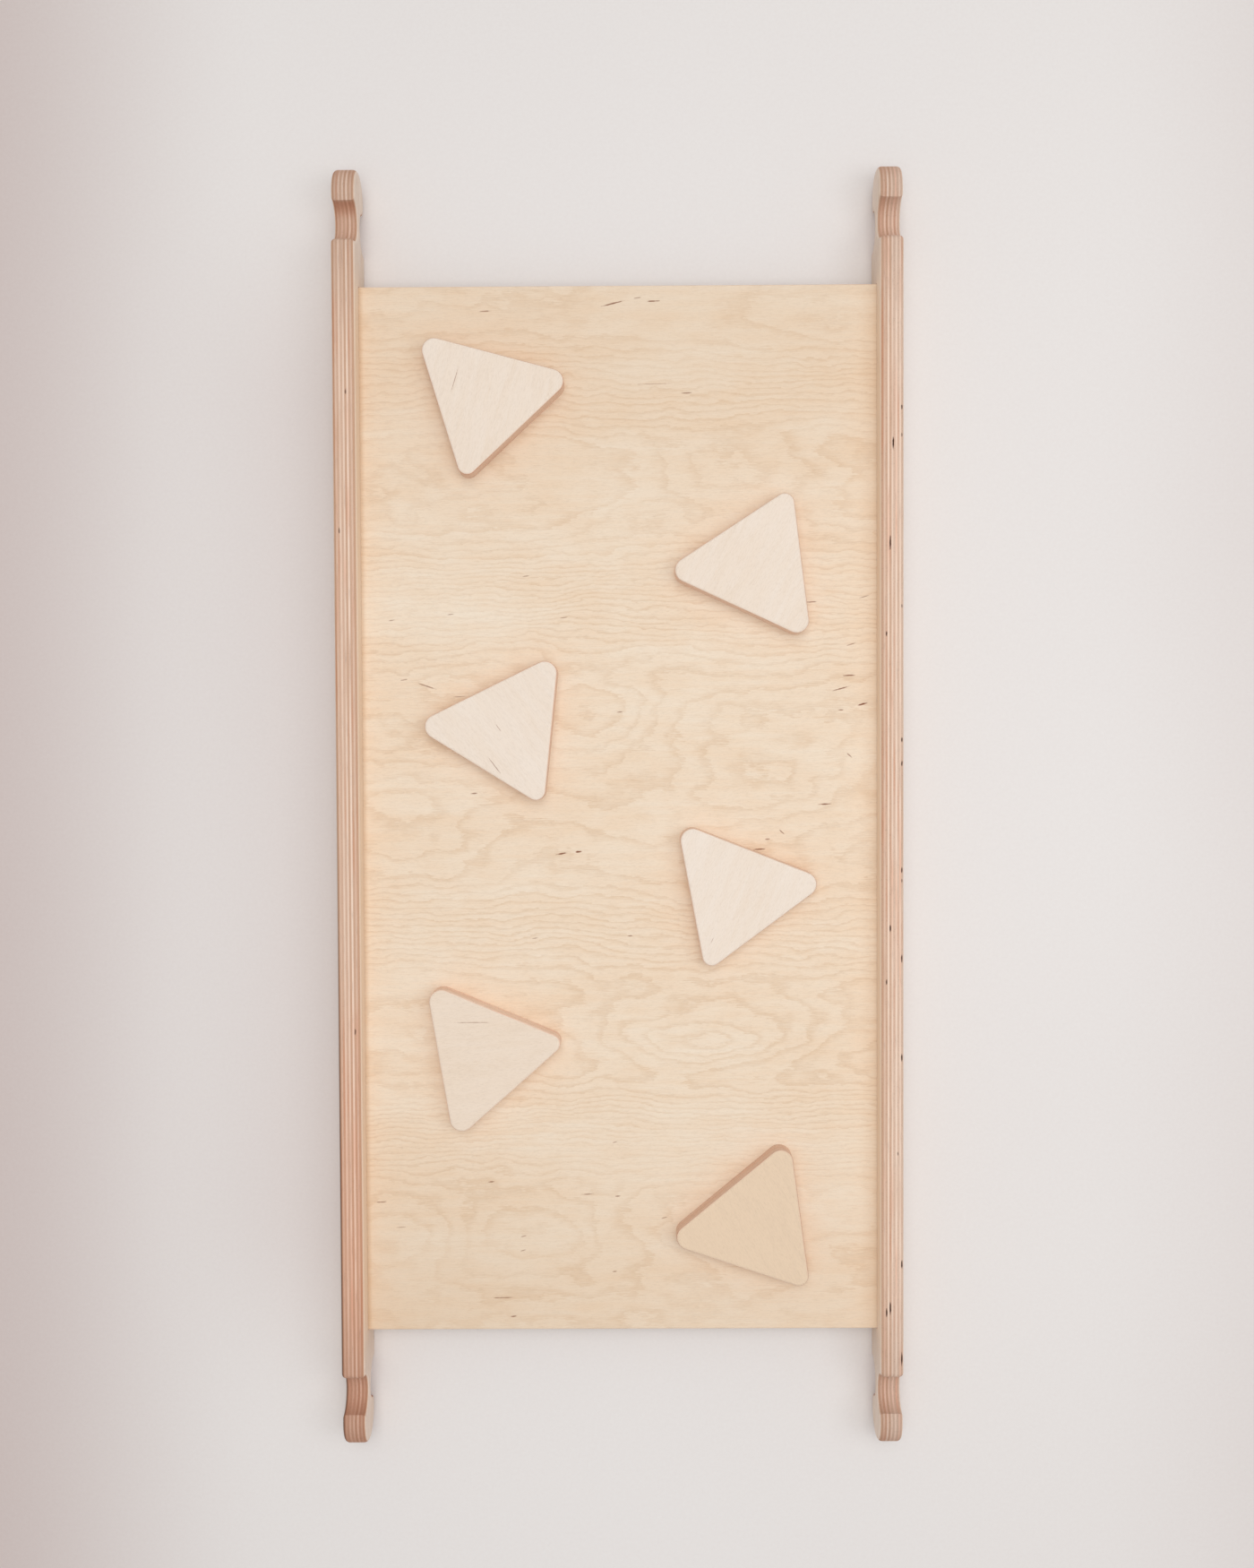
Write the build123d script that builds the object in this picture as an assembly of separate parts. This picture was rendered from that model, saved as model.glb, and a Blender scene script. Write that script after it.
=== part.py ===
from build123d import *

import math
import os

# Climbing ramp of birch plywood: two rails on edge, a panel let into a groove in each of them, and six
# three-cornered holds screwed on from behind. Both ends of the rails hook over a round rung, either way up.
# The ramp lies with its climbing face up. The origin is under its middle, on the surface that it rests on.
# X runs across it, Y along it towards the end that is uppermost in use, and Z is up. All lengths are in
# millimetres.

# Rails
overall_width = 430.0
rail_length = 979.0
rail_height = 48.0
rail_thickness = 18.0
rail_edge_radius = 3.5

# Rung seats, one in each edge at both ends of a rail, and the rounded nose beyond them
rung_seat_radius = 14.5
seat_lead_radius = 4.0
seat_from_end = 42.5
nose_radius = 21.0

# Climbing panel and the groove that holds it
panel_length = 801.0
panel_thickness = 12.0
panel_edge_radius = 1.2
groove_depth = 8.0
groove_side_clearance = 0.15
groove_floor_clearance = 0.3
groove_end_clearance = 0.5

# Holds: triangles with two like sides, measured to their corners as they are before these are rounded
hold_base = 125.0
hold_height = 100.0
hold_thickness = 18.0
hold_base_corner_radius = 9.5
hold_tip_corner_radius = 7.5
hold_edge_radius = 2.0

# Each hold's middle, as shares of the panel's half width between the rails and of its half length
hold_place_shares = (
    (-0.508, 0.783),
    (0.523, 0.463),
    (-0.439, 0.161),
    (0.45, -0.15),
    (-0.534, -0.459),
    (0.515, -0.783),
)

# The direction that the corner between each hold's like sides points in, in degrees from +X
hold_turns = (255.0, 65.0, 296.0, 248.5, 9.5, 309.5)

# Screws that hold each hold from behind
hold_screw_count = 3
hold_screw_circle_radius = 24.0
hold_screw_radius = 2.0
hold_screw_head_radius = 4.0
hold_screw_head_height = 2.6
hold_screw_plain_length = 9.0
hold_screw_tip_cover = 5.0

# Screws through each rail into the panel's edge
rail_screw_count = 5
rail_screw_end_distance = 60.0
rail_screw_radius = 2.5
rail_screw_head_radius = 4.5
rail_screw_head_height = 3.2
rail_screw_plain_length = 11.0
rail_screw_length = 48.0

# What all the screws have alike
screw_head_rim = 0.4
screw_head_sink = 0.3
screw_thread_pitch = 2.2
screw_thread_depth = 0.6
screw_point_length = 4.0
screw_socket_share = 0.5
screw_socket_depth_share = 0.7
screw_clearance = 0.1

# How far a cutting shape runs past the face that it opens
overrun = 1.0

# Places that follow from the sizes above
rail_end = rail_length / 2
rail_middle_z = rail_height / 2
rail_outer_x = overall_width / 2
rail_inner_x = rail_outer_x - rail_thickness
panel_end = panel_length / 2
panel_top_z = rail_middle_z + panel_thickness / 2
panel_back_z = rail_middle_z - panel_thickness / 2
seat_y = rail_end - seat_from_end
seat_z = rail_height - seat_lead_radius
nose_y = rail_end - nose_radius


def seat_nose_corner():
    """Where a seat's round wall meets the nose's circle, above the rail's middle."""
    across = nose_y - seat_y
    down = seat_z - rail_middle_z
    apart = math.hypot(across, down)
    along = (rung_seat_radius**2 - nose_radius**2 + apart**2) / (2 * apart)
    aside = math.sqrt(rung_seat_radius**2 - along**2)
    corner_y = seat_y + (across * along + down * aside) / apart
    corner_z = seat_z + (across * aside - down * along) / apart
    return corner_y, corner_z


def rail_end_edges(end):
    """Edges round one end of a rail, where end is 1 or -1 along the length."""

    def place(y, z, edge=1):
        """A point of the outline, or its mirror image in the rail's middle where edge is -1."""
        return end * y, rail_middle_z + edge * (z - rail_middle_z)

    lead_y = seat_y - rung_seat_radius
    lead_turn = seat_lead_radius * math.sqrt(0.5)
    corner_y, corner_z = seat_nose_corner()
    edges = []
    for edge in (1, -1):
        lead_start = place(lead_y - seat_lead_radius, rail_height, edge)
        lead_middle = place(lead_y - seat_lead_radius + lead_turn, seat_z + lead_turn, edge)
        lead_end = place(lead_y, seat_z, edge)
        seat_floor = place(seat_y, seat_z - rung_seat_radius, edge)
        edges.append(ThreePointArc(lead_start, lead_middle, lead_end))
        edges.append(ThreePointArc(lead_end, seat_floor, place(corner_y, corner_z, edge)))
    tip = place(rail_end, rail_middle_z)
    edges.append(ThreePointArc(place(corner_y, corner_z), tip, place(corner_y, corner_z, -1)))
    return edges


def rail_outline():
    """A rail's whole side outline in the sketch plane, length along its X and height along its Y."""
    straight_end = seat_y - rung_seat_radius - seat_lead_radius
    edges = rail_end_edges(1) + rail_end_edges(-1)
    for z in (0, rail_height):
        edges.append(Line((-straight_end, z), (straight_end, z)))
    return make_face(edges)


def panel_groove():
    """Square-ended groove, as a solid across both rails that is a little longer than the panel."""
    width = 2 * (rail_inner_x + groove_depth)
    length = panel_length + 2 * groove_end_clearance
    height = panel_thickness + 2 * groove_side_clearance
    return Pos(0, 0, rail_middle_z) * Box(width, length, height)


def screw_outline(radius, head_radius, head_height, plain_length, grow=0.0):
    """Half outline of a countersunk screw down to its thread, head up at zero and the rest below it."""
    return [
        (0, 0),
        (head_radius + grow, 0),
        (head_radius + grow, -screw_head_rim - grow),
        (radius + grow, -head_height - grow),
        (radius + grow, -plain_length),
    ]


def countersunk_screw(radius, head_radius, head_height, plain_length, length):
    """Wood screw with a flat head, a six-sided socket, a ridged thread and a point."""
    thread_length = length - plain_length - screw_point_length
    turns = max(round(thread_length / screw_thread_pitch), 1)
    pitch = thread_length / turns
    root = radius - screw_thread_depth
    outline = screw_outline(radius, head_radius, head_height, plain_length)
    for turn in range(turns):
        start = -plain_length - turn * pitch
        outline.append((root, start - pitch / 4))
        outline.append((root, start - pitch / 2))
        outline.append((radius, start - pitch))
    outline.append((0, -length))
    body = revolve(Plane.XZ * make_face(Polyline(*outline, close=True)), Axis.Z)
    socket_radius = head_radius * screw_socket_share
    socket_depth = head_height * screw_socket_depth_share
    socket = extrude(RegularPolygon(socket_radius, 6), amount=-socket_depth)
    return body - socket


def screw_hole(radius, head_radius, head_height, plain_length, length):
    """What a screw's hole takes out of the wood: its own outline and the clearance, open above the head."""
    grow = screw_clearance
    outline = screw_outline(radius, head_radius, head_height, plain_length, grow)
    outline.append((radius + grow, -length + screw_point_length))
    outline.append((0, -length - grow))
    hole = revolve(Plane.XZ * make_face(Polyline(*outline, close=True)), Axis.Z)
    mouth_height = screw_head_sink + overrun
    mouth = Cylinder(head_radius + grow, mouth_height, align=(Align.CENTER, Align.CENTER, Align.MIN))
    return hole + mouth


def rail_screw_sizes():
    """Radius, head radius, head height, plain length and whole length of a rail's screw."""
    head = (rail_screw_head_radius, rail_screw_head_height)
    return rail_screw_radius, *head, rail_screw_plain_length, rail_screw_length


def hold_screw_sizes():
    """The same five sizes of a hold's screw, which stops short of the hold's climbing face."""
    head = (hold_screw_head_radius, hold_screw_head_height)
    length = panel_thickness + hold_thickness - screw_head_sink - hold_screw_tip_cover
    return hold_screw_radius, *head, hold_screw_plain_length, length


def rail_screw_places(side):
    """Planes of one rail's screw heads, facing outwards. side is -1 for the left rail, 1 for the right."""
    first = rail_screw_end_distance - panel_end
    step = -2 * first / (rail_screw_count - 1)
    x = side * (rail_outer_x - screw_head_sink)
    ys = [first + step * index for index in range(rail_screw_count)]
    return [Plane(origin=(x, y, rail_middle_z), x_dir=(0, 1, 0), z_dir=(side, 0, 0)) for y in ys]


def hold_centre(share):
    return share[0] * rail_inner_x, share[1] * panel_end


def hold_screw_places(share, turn):
    """Planes of one hold's screw heads, each facing down out of the panel's back."""
    x, y = hold_centre(share)
    z = panel_back_z + screw_head_sink
    places = []
    for index in range(hold_screw_count):
        angle = math.radians(turn + 360 * index / hold_screw_count)
        place_x = x + hold_screw_circle_radius * math.cos(angle)
        place_y = y + hold_screw_circle_radius * math.sin(angle)
        places.append(Plane(origin=(place_x, place_y, z), x_dir=(1, 0, 0), z_dir=(0, 0, -1)))
    return places


def rail(side):
    """One rail: rounded over along both faces, grooved for the panel and bored for its screws."""
    inner_face = Plane(origin=(side * rail_inner_x, 0, 0), x_dir=(0, 1, 0), z_dir=(1, 0, 0))
    blank = extrude(inner_face * rail_outline(), amount=side * rail_thickness)
    faces = blank.faces().filter_by(Axis.X).sort_by(Axis.X)
    rim = faces[0].edges() + faces[-1].edges()
    body = fillet(rim, rail_edge_radius) - panel_groove()
    for place in rail_screw_places(side):
        body -= place * screw_hole(*rail_screw_sizes())
    return body


def climbing_panel():
    """The panel, eased along both ends and bored for the screws of the rails and of the holds."""
    width = 2 * (rail_inner_x + groove_depth - groove_floor_clearance)
    board = Pos(0, 0, rail_middle_z) * Box(width, panel_length, panel_thickness)
    end_edges = board.edges().filter_by(Axis.X)
    board = fillet(end_edges, panel_edge_radius)
    for side in (-1, 1):
        for place in rail_screw_places(side):
            board -= place * screw_hole(*rail_screw_sizes())
    for share, turn in zip(hold_place_shares, hold_turns):
        for place in hold_screw_places(share, turn):
            board -= place * screw_hole(*hold_screw_sizes())
    return board


def hold(share, turn):
    """One three-cornered hold, eased round its climbing face and bored from behind."""
    x, y = hold_centre(share)
    tip = (2 * hold_height / 3, 0)
    base_corners = ((-hold_height / 3, hold_base / 2), (-hold_height / 3, -hold_base / 2))
    triangle = make_face(Polyline(tip, *base_corners, close=True))
    rounded = fillet(triangle.vertices().sort_by(Axis.X)[:2], hold_base_corner_radius)
    rounded = fillet(rounded.vertices().sort_by(Axis.X)[-1], hold_tip_corner_radius)
    block = extrude(rounded, amount=hold_thickness)
    face_edges = block.faces().sort_by(Axis.Z)[-1].edges()
    block = fillet(face_edges, hold_edge_radius)
    body = Pos(x, y, panel_top_z) * Rot(0, 0, turn) * block
    for place in hold_screw_places(share, turn):
        body -= place * screw_hole(*hold_screw_sizes())
    return body


def screw_group(places, sizes):
    """Like screws, one at each place, as separate solids."""
    screw = countersunk_screw(*sizes)
    return Compound([place * screw for place in places])


def write(shape, node):
    export_step(shape, f"parts/{node}.step")


def main():
    os.makedirs("parts", exist_ok=True)
    for name, side in (("left", -1), ("right", 1)):
        write(rail(side), f"rail_{name}")
        write(screw_group(rail_screw_places(side), rail_screw_sizes()), f"rail_{name}_screws")
    write(climbing_panel(), "climbing_panel")
    for number, (share, turn) in enumerate(zip(hold_place_shares, hold_turns), start=1):
        write(hold(share, turn), f"hold_{number}")
        write(screw_group(hold_screw_places(share, turn), hold_screw_sizes()), f"hold_{number}_screws")


main()
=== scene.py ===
import math

import bpy
from mathutils import Matrix, Vector


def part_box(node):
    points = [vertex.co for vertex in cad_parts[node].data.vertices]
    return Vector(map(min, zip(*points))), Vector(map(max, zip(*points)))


# Climbing ramp of birch plywood, lying on a pale floor with its climbing face up. Its solids come from the
# frame and keep their shape. This script gives each of them its finish, and adds the floor, lamps and camera.
# Lengths are in metres, and in mm where a table says so. X runs across the ramp, Y along it and Z up.

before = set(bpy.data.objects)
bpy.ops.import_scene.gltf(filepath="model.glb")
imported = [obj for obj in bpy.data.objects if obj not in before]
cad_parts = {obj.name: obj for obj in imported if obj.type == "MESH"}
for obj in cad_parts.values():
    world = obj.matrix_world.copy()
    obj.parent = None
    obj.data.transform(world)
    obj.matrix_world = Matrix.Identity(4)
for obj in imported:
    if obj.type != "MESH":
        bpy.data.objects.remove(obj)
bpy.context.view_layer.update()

bl_info = {
    "name": "Climbing Ramp",
    "version": (1, 0, 0),
    "blender": (4, 5, 0),
    "location": "3D View > Sidebar > Ramp",
    "description": "Gives a plywood climbing ramp its finishes and sets it on a pale floor",
    "category": "Object",
}

MM = 0.001

# Places that follow from the frame. The panel shows as far as the rails' inner faces.
RAIL_LOW, RAIL_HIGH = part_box("rail_right")
PANEL_LOW, PANEL_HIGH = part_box("climbing_panel")
HOLD_NAMES = [name for name in sorted(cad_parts) if name.startswith("hold_") and "screws" not in name]
RAIL_THICKNESS = RAIL_HIGH.x - RAIL_LOW.x
RAIL_MIDDLE_Z = (RAIL_LOW.z + RAIL_HIGH.z) / 2
PANEL_SHOWN_X = RAIL_LOW.x
PANEL_THICKNESS = PANEL_HIGH.z - PANEL_LOW.z
HOLD_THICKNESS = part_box(HOLD_NAMES[0])[1].z - PANEL_HIGH.z

# Patterns of the materials. Each has the lengths of its patches along its three axes in mm, how many finer
# layers it has, how strong these are, and what it adds to the seed of its material.
PATTERNS = {
    "panel bend": ((60, 34, 20), 2.0, 0.5, 0),
    "panel jitter": ((9, 5, 20), 2.0, 0.5, 6),
    "panel sway": ((230, 90, 20), 2.0, 0.5, 7),
    "narrow sway": ((160, 22, 20), 2.0, 0.5, 0),
    "narrow jitter": ((12, 4, 20), 2.0, 0.5, 6),
    "warm patches": ((110, 38, 100), 3.0, 0.5, 9),
    "broad streaks": ((70, 3.2, 50), 2.0, 0.5, 11),
    "feathered rings": ((11, 0.8, 20), 2.0, 0.5, 17),
    "curled rings": ((26, 15, 20), 3.0, 0.5, 20),
    "mottle": ((30, 12, 30), 3.0, 0.5, 21),
    "pores": ((3.2, 0.9, 0.9), 3.0, 0.7, 22),
    "ply drift": ((90, 90, 100), 2.0, 0.5, 21),
    "ragged marks": ((2.5, 2.5, 2.5), 3.0, 0.5, 41),
    "steel cloud": ((3, 3, 3), 4.0, 0.5, 5),
    "steel scratch": ((0.2, 2.5, 0.4), 3.0, 0.5, 9),
    "floor patches": ((500, 500, 500), 1.0, 0.5, 2),
    "floor grain": ((2.5, 2.5, 2.5), 2.0, 0.5, 4),
}

# How many plies the panel and the holds are glued up from, and how light these are in turn
PANEL_PLIES = 9
HOLD_PLIES = 13
LIGHT_PLY = 0.95
DARK_PLY = 0.3

# Fibres have their size in the sidebar. This is how many finer layers they have and how strong these are, and
# what the fibres of a face, those of the plies and the tones of the rings add to the seed of their material.
FIBRES = {"detail": 3.0, "roughness": 0.6}
FACE_FIBRES_SHIFT = 10
PLY_FIBRES_SHIFT = 20
RING_TONES_SHIFT = 8

# How far the plies' drift jumps from one ply to the next
PLY_JUMP = 0.31

# How much of a mirror the sanded wood and the floor are
WOOD_GLOSS = 0.12
FLOOR_GLOSS = 0.2

# How deep a mark on a face goes, and a void in a rail's edge
MARK_DEPTH = 2 * MM
VOID_DEPTH = 8 * MM

# Bands of the panel's figure where growth lines run close together: from y and to y in mm, and how many
# rings the figure climbs or falls there. Between the bands it is calm.
FIGURE_BANDS = (
    (272, 378, 14),
    (100, 228, -21),
    (-138, -45, 14),
    (-300, -190, -19),
)

# Islands in the figure: middle x and y, half length, half width, all in mm, and height in rings
FIGURE_ISLANDS = (
    (85, 262, 75, 26, 2.4),
    (15, 226, 30, 9, 1.6),
    (-110, 228, 34, 16, 1.5),
    (-30, 78, 52, 28, -3.4),
    (110, 45, 90, 52, 3.0),
    (-160, -15, 60, 30, 1.6),
    (-165, 20, 60, 30, 2.0),
    (70, -178, 60, 18, 2.6),
    (55, -168, 105, 44, 2.4),
    (-150, -165, 60, 22, 1.8),
    (-55, -322, 60, 24, -3.2),
    (-170, -330, 45, 30, 2.2),
    (110, -330, 90, 40, 1.6),
)

# How far a small jitter moves the panel's growth lines, and how many rings a broad sway lifts them
FIGURE_JITTER = 2.4 * MM
FIGURE_SWAY = 7.0

# Dark flecks on the panel's face. Each kind has a length and a width in mm, a turn in degrees, a strength,
# and the x and y of its flecks in mm.
PANEL_FLECKS = (
    (32, 0.8, 1, 0.4, ((27, 326),)),
    (20, 1.1, 1, 0.62, ((-92.7, -375.7),)),
    (19, 1.3, 14, 0.8, ((-3, 387),)),
    (15, 1.3, 15, 0.85, ((169.6, 93.8),)),
    (15, 1.1, -18, 0.65, ((-147, 97),)),
    (10, 1.6, 9, 0.85, ((-44.7, -31.7),)),
    (10, 1.3, 2, 0.8, ((27, 388.5), (175.4, 103.8), (157, 5.4), (107, -29))),
    (10, 1.2, 3, 0.62, ((147, 160), (-26.5, -295.2), (-186, -300.8), (-101, 381.6), (52, 319))),
    (10, 0.8, 3, 0.47, ((-123, 89), (-170.8, -320.5))),
    (8, 1.6, 16, 0.95, ((185.8, 81.8),)),
    (8, 0.9, 16, 0.6, ((187.5, 163.8), (177.5, 127.6))),
    (6, 1.7, 5, 0.92, ((-31.8, -30.3),)),
    (6, 1.2, 5, 0.7, ((-100.6, -285.3), (-83.8, -390.2), (-112, 14.8))),
    (6, 1.1, -43, 0.64, ((175.8, 42.9), (124, -15.7))),
    (5, 1.2, 3, 0.64, (
        (7.4, -95.2), (-3.5, -296.8), (-5.7, -355.5), (113, -21.3), (0.5, 76.7), (169.5, 77.5),
    )),
    (6, 1, 8, 0.52, (
        (-71, 180.7), (-174, 147.5), (-129, 151.8), (-42, 149), (15, 391), (-65.7, -96.7), (-165, 102),
    )),
    (5, 1, 14, 0.5, ((-5, -254.8), (-76, -327.8), (-76.4, -338.8), (32.6, -313.7))),
)

# Where painted shade darkens the panel towards its growth lines' colour: towards both ends, from its palest
# place on, and towards its lower left corner. Beside each rail a thin strip of it gets painted shade too.
PANEL_PALEST_Y = -20 * MM
PANEL_END_SHADE_Y = (150 * MM, 400 * MM)
PANEL_CORNER_SHADE_Y = (-200 * MM, -400 * MM)
PANEL_CORNER_SHADE_X = (50 * MM, -200 * MM)
JOINT_SHADE_WIDTH = 4.5 * MM

# Each hold's grain direction in degrees from X, how warm its veneer is, how much painted light lifts the dark
# plies of its sides, and its hairlines, given as the panel's flecks are
HOLD_LOOKS = {
    "hold_1": (75.0, 0.05, 0.2, ((18, 0.8, 73, 0.5, ((-122.3, 326),)),)),
    "hold_2": (62.0, 0.05, 0.5, ()),
    "hold_3": (128.0, 0.0, 0.5, (
        (17, 0.8, -53, 0.6, ((-94.5, 36.5),)),
        (8, 0.7, -55, 0.45, ((-91.2, 64.7),)),
    )),
    "hold_4": (66.0, 0.0, 0.65, ((6, 0.7, 65, 0.35, ((69.6, -96.8),)),)),
    "hold_5": (4.0, 0.35, 0.95, ((30, 0.8, 0, 0.5, ((-112.6, -158.5),)),)),
    "hold_6": (118.0, 1.0, 0.1, ()),
}

# Each rail's looks: how light its plies are, from its inner face to its outer one, how rosy its lower half
# is and how deep the painted shade is there, how much painted light pales its outer plies and spares its
# nose walls the painted shade, the voids in its cross plies, and its seed. A kind of void has a length in
# mm, a strength, and for each void its y and its depth from the rail's inner face in mm.
RAIL_LOOKS = {
    "rail_left": {
        "shades": (0.65, 0.1, 0.5, 0.25, 1.0, 0.2, 0.85, 0.45, 0.8, 0.35, 0.5, 0.0, 0.0),
        "lower_blush_and_shade": 0.8,
        "painted_outer_light": 0.0,
        "voids": (
            (5, 0.7, ((-165.5, 4.6), (214, 13.2), (318, 7.4))),
        ),
        "seed": 31,
    },
    "rail_right": {
        "shades": (0.55, 0.2, 0.6, 0.35, 1.0, 0.25, 0.9, 0.45, 1.0, 0.45, 0.9, 0.35, 0.6),
        "lower_blush_and_shade": 0.0,
        "painted_outer_light": 1.0,
        "voids": (
            (12, 1.0, ((-378.5, 7.4), (203, 7.4), (277, 9.6), (-418, 16.2))),
            (7, 0.95, ((-88.5, 7.4), (-382, 4.6), (-111, 16.2), (-345, 16.2), (-186.5, 16.2))),
            (4.5, 0.9, ((-129, 4.6), (134.5, 4.6), (304, 16.2), (54.5, 16.2), (-44, 16.2), (36.5, 16.2))),
            (3.5, 0.6, ((-52, 16.2), (155, 16.2), (283, 16.2), (-260, 13.2))),
        ),
        "seed": 57,
    },
}

# Seeds of the panel and of the holds, from the first one on
PANEL_SEED = 3
FIRST_HOLD_SEED = 71
HOLD_SEED_STEP = 3

# How far apart the growth lines of the narrow faces are, and how many rings they sway
RAIL_RING = 7 * MM
RAIL_SWAY = 5.0
HOLD_RING = 16 * MM
HOLD_SWAY = 4.0

# Where the looks of the rails change, each from one place to another: the outer plies that painted light
# makes paler, the painted bounce light on the inner face beside the panel, the rung seats up and down from
# the middle of the height, the rosy lower half, the painted shade on the noses' inner walls, the painted
# shade on the ends, deeper in the lower half, and the painted shade line along the left rail's outer edge
PALLOR_DEPTH = (RAIL_THICKNESS * 0.4, RAIL_THICKNESS * 0.65)
PANEL_BOUNCE_Y = (440 * MM, 360 * MM)
SEAT_Z = (22 * MM, 14 * MM)
LOWER_Y = (-50 * MM, -350 * MM)
WALL_SHADE_Y = (-300 * MM, 300 * MM)
RAIL_END_SHADE_Y = (330 * MM, 475 * MM)
RAIL_END_SHADE_LOWER_Y = (-300 * MM, 0.0)
OUTER_SHADE_DEPTH = (RAIL_THICKNESS - 2.2 * MM, RAIL_THICKNESS - 1.2 * MM)
OUTER_SHADE_Y = (100 * MM, -250 * MM)

# Height of the fine marks that the driver leaves on a screw
SCREW_RELIEF = 0.02 * MM

# The floor, just under the ramp. Its painted rosy shade comes in towards the left and the right, a painted
# shadow lies beside the left rail, and both go out far from the ramp. Still further out, the floor looks as
# pale as the sky.
FLOOR_SIZE = 12.0
FLOOR_DROP = 0.1 * MM
SHADE_WANDER = 0.05
LEFT_SHADE_X = (-0.27, -0.54)
RIGHT_SHADE_X = (0.36, 0.6)
SHADE_END = (0.8, 1.1)
SHADE_END_X = (0.52, 0.85)
RAIL_SHADE_X = (-0.38, -0.25)
RAIL_FOOT_X = (-0.2, -0.21)
RAIL_SHADE_Y = (0.5, 0.3)
PALE_FROM = (0.75, 2.0)

# The colour of the sky's light, and each lamp's place, the point that it shines at and its width
SKY_LIGHT = (1.0, 0.985, 0.975, 1.0)
LAMPS = {
    "side_lamp": ((1.1, 0.03, 1.8), (0.1, 0.03, 0.0), 1.0),
    "top_lamp": ((0.0, 0.03, 2.1), (0.0, 0.03, 0.0), 1.2),
    "far_lamp": ((0.0, 3.4, 8.4), (0.0, 0.0, 0.0), 3.7),
}

# The photographed view: where the camera is, how it is turned in radians, its focal length in pixels of a
# picture 1750 pixels high, and the longer side of its sensor in mm
CAMERA_PLACE = (0.01197, 0.057, 1.26557)
CAMERA_TILT = 0.0287
CAMERA_YAW = -0.0052
CAMERA_ROLL = 0.0046
FOCAL_PIXELS = 1800.0
IMAGE_HEIGHT = 1750
SENSOR_SIZE = 36.0


def tone(red, green, blue):
    """The colour that a picture shows with these three values from 0 to 255, as Blender stores it."""
    parts = [part / 255 for part in (red, green, blue)]
    return [part / 12.92 if part <= 0.04045 else ((part + 0.055) / 1.055) ** 2.4 for part in parts]


def blend(share, first, second):
    """A plain colour on the way from the first to the second."""
    return [start + (end - start) * share for start, end in zip(first, second)]


def colour_setting(name, description, default):
    """A colour that the user can change in the sidebar."""
    return bpy.props.FloatVectorProperty(
        name=name, description=description, default=default, size=3, min=0.0, max=1.0, subtype="COLOR"
    )


def length_setting(name, description, default):
    """A length that the user can change in the sidebar."""
    return bpy.props.FloatProperty(
        name=name, description=description, default=default, min=0.0, unit="LENGTH"
    )


def power_setting(name, description, default):
    """A lamp's power that the user can change in the sidebar."""
    return bpy.props.FloatProperty(
        name=name, description=description, default=default, min=0.0, unit="POWER"
    )


class RampSizes(bpy.types.PropertyGroup):
    """Sizes of what shows in the wood."""

    rail_ply: length_setting("Rail ply", "Thickness of a rail's inner plies", 1.475 * MM)
    panel_ply: length_setting("Panel ply", "Thickness of the panel's inner plies", 1.42 * MM)
    hold_ply: length_setting("Hold ply", "Thickness of a hold's inner plies", 1.475 * MM)
    figure_bend: length_setting("Figure bend", "How far the panel's growth lines wander", 16 * MM)
    fibre_length: length_setting("Fibre length", "Length of the fine streaks in the veneer", 14 * MM)
    fibre_width: length_setting("Fibre width", "Width of the fine streaks in the veneer", 0.7 * MM)
    relief: length_setting("Relief", "Height of the grain over the sanded face", 0.05 * MM)


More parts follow.
